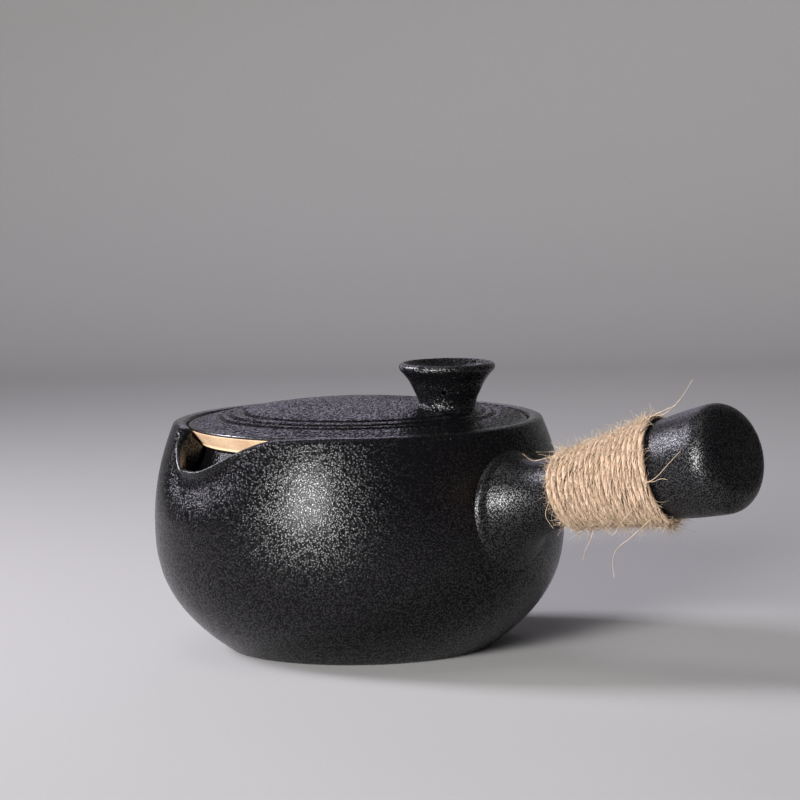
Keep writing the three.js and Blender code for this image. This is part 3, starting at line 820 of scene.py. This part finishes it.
knob_widest = KNOB_HEIGHT - 2 * KNOB_RIM_ROUND
knob_angles = full_turn(KNOB_COLUMNS)
knob_flare = [
    (mix(KNOB_BASE_RADIUS, KNOB_TOP_RADIUS, flare), knob_foot + knob_widest * rise)
    for flare, rise in KNOB_FLARE_SHARES
]
knob_rim = [
    (KNOB_TOP_RADIUS, knob_foot + knob_widest + KNOB_RIM_ROUND),
    (KNOB_TOP_RADIUS - KNOB_RIM_ROUND, knob_foot + KNOB_HEIGHT),
]
dish_top = knob_foot + KNOB_HEIGHT - KNOB_RIM_ROUND / 2
knob_dish = [
    ((KNOB_TOP_RADIUS - KNOB_RIM_ROUND) * across, dish_top - KNOB_DISH * deep)
    for across, deep in KNOB_DISH_SHARES
]
fillet = []
x, y, _ = on_knob_axis(0)
for out_share, rise_share in FILLET_SHARES:
    radius = np.full(KNOB_COLUMNS, KNOB_BASE_RADIUS + FILLET * out_share)
    from_centre = np.hypot(x + radius * np.cos(knob_angles), y + radius * np.sin(knob_angles))
    fillet.append(np.stack([radius, lid_top_height(from_centre) + FILLET * rise_share], axis=-1))
upper_knots = np.array([*knob_flare, *knob_rim, *knob_dish])[:, None] * np.ones((1, KNOB_COLUMNS, 1))
knob_knots = np.concatenate([fillet, upper_knots])
knob_rows, knob_marks = smooth_through(knob_knots, np.arange(len(knob_knots)), KNOB_ROW_SPACING)
rim_row = len(fillet) + len(knob_flare) + 0.5
rim_share = near_mark(knob_marks, rim_row, KNOB_RIM_REACH)
knob_smooth_edge = KNOB_RIM_SMOOTHNESS * rim_share * np.ones((1, KNOB_COLUMNS))
knob_skin = ring_mesh(
    "knob_skin", turned(knob_rows, knob_angles) + on_knob_axis(0), [knob_glaze],
    on_knob_axis(knob_foot - FILLET), on_knob_axis(dish_top - KNOB_DISH), smooth_edge=knob_smooth_edge,
)

# %% Vent through lid and knob
vent_ends = on_knob_axis(FLANGE_BOTTOM), on_knob_axis(knob_foot + VENT_HEIGHT)
eye_start = on_knob_axis(knob_foot + EYE_HEIGHT)
eye_end = eye_start + level(EYE_ANGLE) * KNOB_TOP_RADIUS
cut(lid_skin, [rod(*vent_ends, VENT_RADIUS)])
cut(knob_skin, [rod(*vent_ends, VENT_RADIUS), rod(eye_start, eye_end, EYE_RADIUS)])
for skin, piece in [(lid_skin, "lid"), (knob_skin, "lid_knob")]:
    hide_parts(piece)
    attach(skin, "lid")

# %% [markdown]
# ## The handle
# The handle is a hollow tube thrown on its own. It flares at its root to a collar, thins to a neck and swells
# to a blunt closed end. Each column of it starts where it meets the belly, found by halving, so the collar
# follows the round wall. The slip that holds it was wiped off round the joint, which leaves the collar's edge
# as a soft bead with a crease.

# %% Frame of the handle
HANDLE_TILT = math.radians(13.3)
HANDLE_ROOT_SINK = 5.7
HANDLE_SEAT_RISE = 6.4
HANDLE_LENGTH = 75
HANDLE_COLLAR_RADIUS = 18
HANDLE_NECK_RADIUS = 7.4
HANDLE_END_RADIUS = 13.4
HANDLE_FLARE_LENGTH = 7.6
HANDLE_SWELL_START = 12
HANDLE_SWELL_END = 72
HANDLE_END_ROUND = 5.5
HANDLE_END_CROWN = 0.5

handle_root = np.array([BELLY_RADIUS - HANDLE_ROOT_SINK, 0, BELLY_HEIGHT + HANDLE_SEAT_RISE])
handle_down = np.array([math.sin(HANDLE_TILT), 0, -math.cos(HANDLE_TILT)])
handle_along = np.array([math.cos(HANDLE_TILT), 0, math.sin(HANDLE_TILT)])
handle_side = np.array([0, 1, 0])


def on_handle(angle, radius, distance):
    """Points round the handle's axis. Angle 0 is down, and distance is counted from the root."""
    angle, radius, distance = np.broadcast_arrays(angle, radius, distance)
    down = (radius * np.cos(angle))[..., None] * handle_down
    side = (radius * np.sin(angle))[..., None] * handle_side
    return handle_root + down + side + distance[..., None] * handle_along


def handle_radius(distance):
    """Radius of the handle's skin at a distance along it."""
    fade = np.exp(-np.maximum(distance, 0) / HANDLE_FLARE_LENGTH)
    swell = smooth_rise((distance - HANDLE_SWELL_START) / (HANDLE_SWELL_END - HANDLE_SWELL_START))
    collar = (HANDLE_COLLAR_RADIUS - HANDLE_NECK_RADIUS) * fade
    return HANDLE_NECK_RADIUS + collar + (HANDLE_END_RADIUS - HANDLE_NECK_RADIUS) * swell


print("The handle's axis starts at", np.round(handle_root, 1), "mm")

# %% Skin of the handle
HANDLE_COLUMNS = 192
HANDLE_ROWS = 150
HANDLE_EDGE_ROWS = 16
HANDLE_FACE_ROWS = 10
ROWS_CROWD_POWER = 1.4
ROOT_SINK = 0.5
COLLAR_BEAD = 0.55
BEAD_MIDDLE = 0.9
BEAD_REACH = 1.5
HALVINGS = 24

handle_angles = full_turn(HANDLE_COLUMNS)
inside = np.zeros(HANDLE_COLUMNS)
outside = np.full(HANDLE_COLUMNS, 2 * HANDLE_SWELL_START, float)
for _ in range(HALVINGS):
    middle = (inside + outside) / 2
    point = on_handle(handle_angles, handle_radius(middle), middle)
    buried = np.hypot(point[:, 0], point[:, 1]) < outside_radius(point[:, 2])
    inside, outside = np.where(buried, middle, inside), np.where(buried, outside, middle)
collar_start = inside - ROOT_SINK
round_start = HANDLE_LENGTH - HANDLE_END_CROWN - HANDLE_END_ROUND
face_radius = handle_radius(round_start) - HANDLE_END_ROUND
run = np.linspace(0, 1, HANDLE_ROWS)[:, None] ** ROWS_CROWD_POWER
barrel_distance = mix(collar_start, round_start, run)
bead = COLLAR_BEAD * smooth_rise(1 - np.abs(barrel_distance - inside - BEAD_MIDDLE) / BEAD_REACH)
edge_turn = np.linspace(0, math.pi / 2, HANDLE_EDGE_ROWS)[1:, None]
edge_radius = face_radius + HANDLE_END_ROUND * np.cos(edge_turn)
edge_distance = round_start + HANDLE_END_ROUND * np.sin(edge_turn)
face_share = np.linspace(1, 0, HANDLE_FACE_ROWS)[1:-1, None]
handle_rings = np.concatenate([
    on_handle(handle_angles, handle_radius(barrel_distance) + bead, barrel_distance),
    on_handle(handle_angles, edge_radius, edge_distance),
    on_handle(handle_angles, face_radius * face_share, HANDLE_LENGTH - HANDLE_END_CROWN * face_share**2),
])
handle_skin = ring_mesh(
    "handle_skin", handle_rings, [handle_glaze],
    on_handle(0, 0, collar_start.min()), on_handle(0, 0, HANDLE_LENGTH),
)
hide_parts("handle")
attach(handle_skin, "pot")

# %% [markdown]
# ## The strainer
# Behind the lip stands a fence of clay with rows of pierced holes, which holds the leaves back. It leans in
# from the wall to just under the lid's flange and runs out into the wall at both ends.

# %% Shape of the strainer
STRAINER_THICKNESS = 2.2
STRAINER_HEIGHT = 17.9
STRAINER_HALF_ANGLE = math.radians(40)
STRAINER_TOP = FLANGE_BOTTOM - LID_SIDE_GAP
STRAINER_FOOT = STRAINER_TOP - STRAINER_HEIGHT
STRAINER_INSET = 1.1
STRAINER_TOP_RADIUS = FLANGE_RADIUS - STRAINER_INSET - STRAINER_THICKNESS
STRAINER_ROUND = 0.6
STRAINER_RUN_OUT_POWER = 4
STRAINER_ROWS = 19
STRAINER_RINGS = 97


def fence_radius(turn_share, rise_share):
    """Radius of the strainer's inner face."""
    wall = inside_radius(mix(STRAINER_FOOT, STRAINER_TOP, rise_share))
    return mix(wall, STRAINER_TOP_RADIUS, (1 - abs(turn_share)**STRAINER_RUN_OUT_POWER) * rise_share)


def fence_ring(turn_share):
    """Points round the fence's cross-section at one place along it, down its inside and up its outside."""
    rises = np.linspace(1, 0, STRAINER_ROWS)
    inner = [(fence_radius(turn_share, rise), mix(STRAINER_FOOT, STRAINER_TOP, rise)) for rise in rises]
    outer = [(radius + STRAINER_THICKNESS, height) for radius, height in reversed(inner)]
    rounds = [STRAINER_ROUND, *[0] * (STRAINER_ROWS - 2), STRAINER_ROUND]
    knots = np.array([outer[-1], *inner, *outer, inner[0]])[:, None]
    eased, _ = ease_corners(knots, [0, *rounds, *rounds, 0])
    return turned(eased[1:-1, 0], LIP_ANGLE + STRAINER_HALF_ANGLE * turn_share)


fence_rings = np.array([fence_ring(share) for share in np.linspace(1, -1, STRAINER_RINGS)])
strainer_skin = ring_mesh(
    "strainer_skin", fence_rings, [body_glaze], fence_rings[0].mean(0), fence_rings[-1].mean(0)
)

# %% Holes of the strainer
HOLE_RADIUS = 1
HOLE_PITCH = 4.2
HOLE_TOP_MARGIN = 6.2
HOLE_ROW_COUNTS = [9, 8, 7]

lean = math.atan2(fence_radius(0, 0) - fence_radius(0, 1), STRAINER_HEIGHT)
hole_rods = []
for row, count in enumerate(HOLE_ROW_COUNTS):
    height = STRAINER_TOP - HOLE_TOP_MARGIN - HOLE_PITCH * row * math.cos(lean)
    radius = fence_radius(0, (height - STRAINER_FOOT) / STRAINER_HEIGHT) + STRAINER_THICKNESS / 2
    for hole in range(count):
        angle = LIP_ANGLE + (hole - (count - 1) / 2) * HOLE_PITCH / radius
        middle = level(angle) * radius + [0, 0, height]
        reach = 2 * STRAINER_THICKNESS * (level(angle) * math.cos(lean) + [0, 0, math.sin(lean)])
        hole_rods.append(rod(middle - reach, middle + reach, HOLE_RADIUS))
cut(strainer_skin, hole_rods)
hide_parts("strainer")
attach(strainer_skin, "pot")

# %% [markdown]
# ## The winding of jute
# The grip is wound with one length of single-ply jute, seventeen and a half times round. It is a millimetre
# and a half thick under its fuzz. A yarn isn't a smooth tube: it is a bundle of loosely twisted slivers, so
# each turn is built of several thin strands that twist about the yarn's middle and wander a little. Seeded
# noise makes them wander the same way each time. The first turn is square to the handle and the last one is
# skewed, so the turns lie closer together on the far side.

# %% Noise, and many tubes in one mesh
JUTE_SEED = 20
noise = np.random.default_rng(JUTE_SEED)


def wander(where, pitch, size):
    """Smooth noise along a line: a new value every pitch, eased in between."""
    steps = where / pitch - np.floor(where.min() / pitch)
    values = noise.normal(0, size, int(steps.max()) + 2)
    at = np.floor(steps).astype(int)
    return mix(values[at], values[at + 1], smooth_rise(steps - at))


def unit(vectors):
    """The vectors scaled to a length of one."""
    return vectors / np.linalg.norm(vectors, axis=-1, keepdims=True)


def line_frame(line):
    """Directions along a line, out from the handle's axis, and across both."""
    ahead = unit(np.gradient(line, axis=0))
    away = line - handle_root
    away = away - (away @ handle_along)[:, None] * handle_along
    out = unit(away - (away * ahead).sum(1, keepdims=True) * ahead)
    return ahead, out, np.cross(ahead, out)


def tubes_mesh(name, lines, radii, crests, sides, material):
    """Thin closed tubes along many lines. Their length and their turn go to a UV map, in mm and in turns."""
    points, faces, uvs = [], [], []
    first = 0
    turns = full_turn(sides)[:, None]
    for number, (line, radius) in enumerate(zip(lines, radii)):
        _, out, over = line_frame(line)
        circle = out[:, None] * np.cos(turns) + over[:, None] * np.sin(turns)
        points.append((line[:, None] + radius[:, None, None] * circle).reshape(-1, 3))
        rings = first + np.arange(len(line) * sides).reshape(-1, sides)
        right = np.roll(rings, -1, axis=1)
        quads = np.stack([rings[:-1], right[:-1], right[1:], rings[1:]], axis=-1)
        faces += quads.reshape(-1, 4).tolist()
        faces += [rings[0, ::-1].tolist(), rings[-1].tolist()]
        length = np.concatenate([[0], np.cumsum(np.linalg.norm(np.diff(line, axis=0), axis=1))])
        around = np.arange(sides) / sides + number
        uvs.append(np.stack(np.broadcast_arrays(length[:, None], around), axis=-1).reshape(-1, 2))
        first += rings.size
    made = new_piece(name, np.concatenate(points), faces, [material])
    corner_points = np.zeros(len(made.data.loops), int)
    made.data.loops.foreach_get("vertex_index", corner_points)
    corner_uvs = np.concatenate(uvs)[corner_points]
    made.data.uv_layers.new(name="along_strand").data.foreach_set("uv", corner_uvs.ravel())
    # Each point's share out of the painted shade between turns goes to an attribute, which the jute reads.
    layer = made.data.attributes.new("out_of_painted_shade", "FLOAT", "POINT")
    layer.data.foreach_set("value", np.repeat(np.concatenate(crests), sides))
    print(f"{name}: {len(lines)} strands, {len(faces)} faces")
    return made


# %% Line of the yarn
YARN_WIDTH = 1.5
YARN_HEIGHT = 1.6
YARN_START = 22.7
YARN_END = 52.9
YARN_SKEW = 3
YARN_TURNS = 17.5
YARN_TAIL = 2.1
YARN_TAIL_ANGLE = math.radians(-32)
YARN_STEP = 0.7

mean_radius = (handle_radius(YARN_START) + handle_radius(YARN_END)) / 2
yarn_length = 2 * math.pi * YARN_TURNS * mean_radius
run = np.arange(0, yarn_length, YARN_STEP)
share = run / yarn_length
yarn_angle = YARN_TAIL_ANGLE + 2 * math.pi * YARN_TURNS * (share - 1)
skew = YARN_SKEW * share * np.cos(yarn_angle + math.pi / 2)
yarn_distance = mix(YARN_START, YARN_END, share) + skew + wander(run, pitch=14, size=0.06)
yarn_radius = handle_radius(yarn_distance) + YARN_HEIGHT / 2 + wander(run, pitch=9, size=0.05)
wound = on_handle(yarn_angle, yarn_radius, yarn_distance)
tail_way = wound[-1] - wound[-2]
tail_steps = np.arange(1, round(YARN_TAIL / YARN_STEP) + 1)[:, None]
yarn_line = np.concatenate([wound, wound[-1] + tail_steps * tail_way])
run = np.arange(len(yarn_line)) * YARN_STEP
print(f"The yarn is {run[-1]:.0f} mm long")

# %% Strands of the yarn
STRANDS = 14
STRAND_RADIUS = 0.2
THINNEST_SHARE = 0.4
THICKEST_SHARE = 1.5
STRAND_SIDES = 5
TWIST_LENGTH = 11
VALLEY_COSINE = -0.35
CREST_COSINE = 0.5

ahead, out, over = line_frame(yarn_line)
fatness = 1 + wander(run, pitch=16, size=0.06)
strand_lines, strand_radii, strand_crests = [], [], []
for strand in range(STRANDS):
    twist = 2 * math.pi * (strand / STRANDS + run / TWIST_LENGTH) + wander(run, pitch=4, size=0.5)
    reach = fatness + wander(run, pitch=3, size=0.08)
    high = (YARN_HEIGHT / 2 - STRAND_RADIUS) * reach * np.cos(twist)
    wide = (YARN_WIDTH / 2 - STRAND_RADIUS) * reach * np.sin(twist)
    strand_lines.append(yarn_line + out * high[:, None] + over * wide[:, None])
    thickness = np.clip(1 + wander(run, pitch=2.5, size=0.22), THINNEST_SHARE, THICKEST_SHARE)
    strand_radii.append(STRAND_RADIUS * thickness)
    # Painted shade between turns: one where a strand lies on the yarn's crest, falling to none in the valley.
    strand_crests.append(smooth_rise((np.cos(twist) - VALLEY_COSINE) / (CREST_COSINE - VALLEY_COSINE)))
yarn = tubes_mesh("jute_yarn", strand_lines, strand_radii, strand_crests, STRAND_SIDES, yarn_jute)
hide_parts("handle_twine")
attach(yarn, "pot")

# %% [markdown]
# ## Loose fibres
# Jute is hairy. Short fibres lift off every turn, most of them nearly flat along the yarn. They are what
# makes the winding look soft, so they are real thin tubes and not a bump. A single fibre is less than a tenth
# of a millimetre thick, so it is drawn a little thicker here, to show. The cut end of the yarn frays.

# %% Short fibres
FUZZ_COUNT = 6500
FUZZ_LENGTH = 2.5
FUZZ_RADIUS = 0.06
FUZZ_POINTS = 7
FUZZ_CURL = 0.5
FUZZ_TIP_SHARE = 0.45
FUZZ_SIDES = 3
FUZZ_END_MARGIN = 2
FUZZ_TURN = 1.2
FUZZ_FLATNESS = 4
FUZZ_SPLAY = 0.55
FUZZ_ROOT_SHARE = 0.95
FUZZ_LENGTH_SHARES = (0.3, 1.2)
FRAY_COUNT = 200
FRAY_LENGTH = 3
FRAY_LENGTH_SHARES = (0.6, 1.2)
FRAY_SPREAD_OUT = 0.3
FRAY_SPREAD_OVER = 0.4
FRAY_SPLAY = 0.28
# The frayed brush is mixed part way to the deep colour, the painted shade between turns, so it is browner
# than the fuzz.
FRAY_CREST = 0.4


def fibre(start, way, length):
    """A fibre that sets out one way, bends, and bends again."""
    steps = np.linspace(0, 1, FUZZ_POINTS)[:, None]
    bends = noise.normal(0, FUZZ_CURL, (2, 3))
    return start + length * (way * steps + bends[0] * steps**2 + bends[1] * np.sin(2 * math.pi * steps) / 4)


def fuzz_line():
    """One short fibre that leaves the yarn's skin close to the yarn's direction."""
    at = noise.integers(FUZZ_END_MARGIN, len(yarn_line) - FUZZ_END_MARGIN)
    turn = noise.uniform(-FUZZ_TURN, FUZZ_TURN)
    skin = out[at] * YARN_HEIGHT / 2 * math.cos(turn) + over[at] * YARN_WIDTH / 2 * math.sin(turn)
    lift = noise.uniform()**FUZZ_FLATNESS
    flat = unit(ahead[at] * noise.choice([-1, 1]) + over[at] * noise.normal(0, FUZZ_SPLAY))
    way = flat * math.cos(lift) + unit(skin) * math.sin(lift)
    start = yarn_line[at] + skin * FUZZ_ROOT_SHARE
    return fibre(start, way, FUZZ_LENGTH * noise.uniform(*FUZZ_LENGTH_SHARES))


def fray_line():
    """One fibre of the brush at the yarn's cut end."""
    aside = out[-1] * noise.normal(0, FRAY_SPREAD_OUT) + over[-1] * noise.normal(0, FRAY_SPREAD_OVER)
    way = unit(ahead[-1] + noise.normal(0, FRAY_SPLAY, 3))
    return fibre(yarn_line[-1] - ahead[-1] + aside, way, FRAY_LENGTH * noise.uniform(*FRAY_LENGTH_SHARES))


fuzz_lines = [fuzz_line() for _ in range(FUZZ_COUNT)] + [fray_line() for _ in range(FRAY_COUNT)]
fuzz_radii = [FUZZ_RADIUS * np.linspace(1, FUZZ_TIP_SHARE, FUZZ_POINTS)] * len(fuzz_lines)
fuzz_crests = [np.ones(FUZZ_POINTS)] * FUZZ_COUNT + [np.full(FUZZ_POINTS, FRAY_CREST)] * FRAY_COUNT
fuzz = tubes_mesh("jute_fuzz", fuzz_lines, fuzz_radii, fuzz_crests, FUZZ_SIDES, fibre_jute)
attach(fuzz, "pot")

# %% [markdown]
# ## Long stray fibres
# A few long fibres have worked loose and stand off the winding in wide bends. Each is drawn as it is seen in
# the picture: its first place is traced onto the winding, and the others lie a millimetre in front of a plane
# through that place, which runs along the handle and faces the camera, so that none sinks into the barrel.
# Seen from any other side, each still grows out of the yarn.

# %% Stray fibres
STRAY_RADIUS = 0.09
STRAY_TIP_SHARE = 0.5
STRAY_SIDES = 5
STRAY_POINTS = 24
STRAY_LEAD = 1
STRAY_SPACING = 1
STRAY_ROUTES = {
    "over the end, high": [(655, 424), (665, 414), (683, 398), (695, 379)],
    "over the end, low": [(654, 426), (668, 409), (679, 404)],
    "top tuft left": [(650, 418), (640, 421), (630, 428)],
    "across the end": [(649, 482), (658, 477), (672, 462), (683, 450)],
    "hook at the end": [(649, 480), (656, 481), (664, 478), (670, 479)],
    "hanging": [(652, 514), (633, 537), (617, 552), (615, 562), (617, 578)],
    "crossing": [(638, 500), (626, 519), (613, 534), (608, 526)],
    "over the neck": [(551, 456), (543, 459), (535, 460), (525, 453)],
    "below the neck": [(541, 502), (548, 515), (556, 528)],
    "drooping": [(594, 528), (592, 541), (588, 549), (585, 560)],
}


def on_winding(across, down):
    """The place on the yarn's skin nearest to a sight line, on the side that the camera sees."""
    way = sight_line(across, down)
    from_camera = yarn_line - CAMERA_PLACE
    off_line = np.linalg.norm(from_camera - (from_camera @ way)[:, None] * way, axis=1)
    nearest = np.where(out @ way < 0, off_line, np.inf).argmin()
    return yarn_line[nearest] + out[nearest] * YARN_HEIGHT / 2


def stray_line(route):
    """A smooth line through a route's places, just in front of a plane that faces the camera."""
    root = on_winding(*route[0])
    look = np.array(CAMERA_LOOK)
    facing = unit(look - (look @ handle_along) * handle_along)
    places = [root]
    for across, down in route[1:]:
        way = sight_line(across, down)
        on_plane = CAMERA_PLACE + way * ((root - CAMERA_PLACE) @ facing) / (way @ facing)
        places.append(on_plane - STRAY_LEAD * facing)
    knots = np.array(places)[:, None]
    rows, _ = smooth_through(knots, np.arange(len(knots)), STRAY_SPACING)
    share = np.linspace(0, len(rows) - 1, STRAY_POINTS)
    return np.stack([np.interp(share, np.arange(len(rows)), rows[:, 0, i]) for i in range(3)], axis=-1)


stray_lines = [stray_line(route) for route in STRAY_ROUTES.values()]
stray_radii = [STRAY_RADIUS * np.linspace(1, STRAY_TIP_SHARE, STRAY_POINTS)] * len(stray_lines)
stray_crests = [np.ones(STRAY_POINTS)] * len(stray_lines)
strays = tubes_mesh("jute_strays", stray_lines, stray_radii, stray_crests, STRAY_SIDES, fibre_jute)
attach(strays, "pot")

# %% [markdown]
# ## Floor, backdrop and light
# The floor is plain and pale and curves up into a backdrop, so no line crosses the picture. A soft key lamp
# stands low in front on the left and lights the grains of the belly. A second one farther back on the left
# draws the bright edges of the lip and the handle, and a third one behind the pot makes the lid glint. The
# first two wear grids, which keep their light off the floor round them. A faint lamp overhead and a dim world
# fill the shadows.

# %% Floor and backdrop
FLOOR_REACH = 1500
SWEEP_RADIUS = 400
SWEEP_START = 700
SWEEP_STEPS = 24
PAPER_PULP = 1.5
PAPER_GREY = "#b8b6b5"
PAPER_PALE = "#bfbdbc"

look_flat = np.array(CAMERA_LOOK.xy.normalized())
look_side = np.array([look_flat[1], -look_flat[0]])
turns = np.linspace(0, math.pi / 2, SWEEP_STEPS)
sweep_profile = [
    (-FLOOR_REACH, 0),
    *[(SWEEP_START + SWEEP_RADIUS * math.sin(turn), SWEEP_RADIUS * (1 - math.cos(turn))) for turn in turns],
    (SWEEP_START + SWEEP_RADIUS, FLOOR_REACH),
]
sweep_points = []
for forward, height in sweep_profile:
    for sideways in (-FLOOR_REACH, FLOOR_REACH):
        sweep_points.append((*(look_flat * forward + look_side * sideways), height))
sweep_faces = [(2 * i, 2 * i + 1, 2 * i + 3, 2 * i + 2) for i in range(len(sweep_profile) - 1)]

paper, add = new_material("matt_paper")
place = add("TexCoord", {})["Object"]
pulp = add("TexNoise", {"Vector": place, "Scale": per_metre(PAPER_PULP), "Detail": 3})[0]
tint = add(
    "Mix", {FACTOR: pulp, COLOUR_A: linear(PAPER_GREY), COLOUR_B: linear(PAPER_PALE)}, data_type="RGBA"
)[COLOUR_OUT]
matt = add("BsdfPrincipled", {"Base Color": tint, "Roughness": 0.9})
add("OutputMaterial", {"Surface": matt[0]})
sweep = new_piece("floor_sweep", sweep_points, sweep_faces, [paper])


# %% Lamps and world
def soft_lamp(name, place, size, power, colour, spread=180):
    """A lamp of a width and a height, aimed at the pot. Its place is to the right, toward us and up."""
    right, toward_us, up = place
    lamp = bpy.data.objects.new(name, bpy.data.lights.new(name, "AREA"))
    bpy.context.scene.collection.objects.link(lamp)
    lamp.location = Vector((*(look_side * right - look_flat * toward_us), up)) * MM
    aim = Vector((0, 0, BELLY_HEIGHT * MM)) - lamp.location
    lamp.rotation_mode = "QUATERNION"
    lamp.rotation_quaternion = aim.to_track_quat("-Z", "Y")
    lamp.data.shape = "RECTANGLE"
    lamp.data.size = size[0] * MM
    lamp.data.size_y = size[1] * MM
    lamp.data.energy = power
    lamp.data.spread = math.radians(spread)
    lamp.data.color = linear(colour)[:3]
    print(f"{name}: {power} W")


soft_lamp("key_lamp", place=(-690, 1245, 351), size=(495, 600), power=8.1, colour="#ffffff", spread=80)
soft_lamp("edge_lamp", place=(-820, -270, 560), size=(300, 380), power=2.15, colour="#f4f1ff", spread=80)
soft_lamp("back_lamp", place=(-70, -850, 480), size=(300, 160), power=0.5, colour="#e9e0ff")
soft_lamp("overhead_lamp", place=(-250, 100, 1000), size=(500, 500), power=1.1, colour="#ffffff")
world = bpy.data.worlds.new("studio")
bpy.context.scene.world = world
world.use_nodes = True
sky = world.node_tree.nodes["Background"].inputs
sky["Color"].default_value = linear("#e4e4e8")
sky["Strength"].default_value = 0.1
bpy.context.scene.view_settings.view_transform = "Standard"
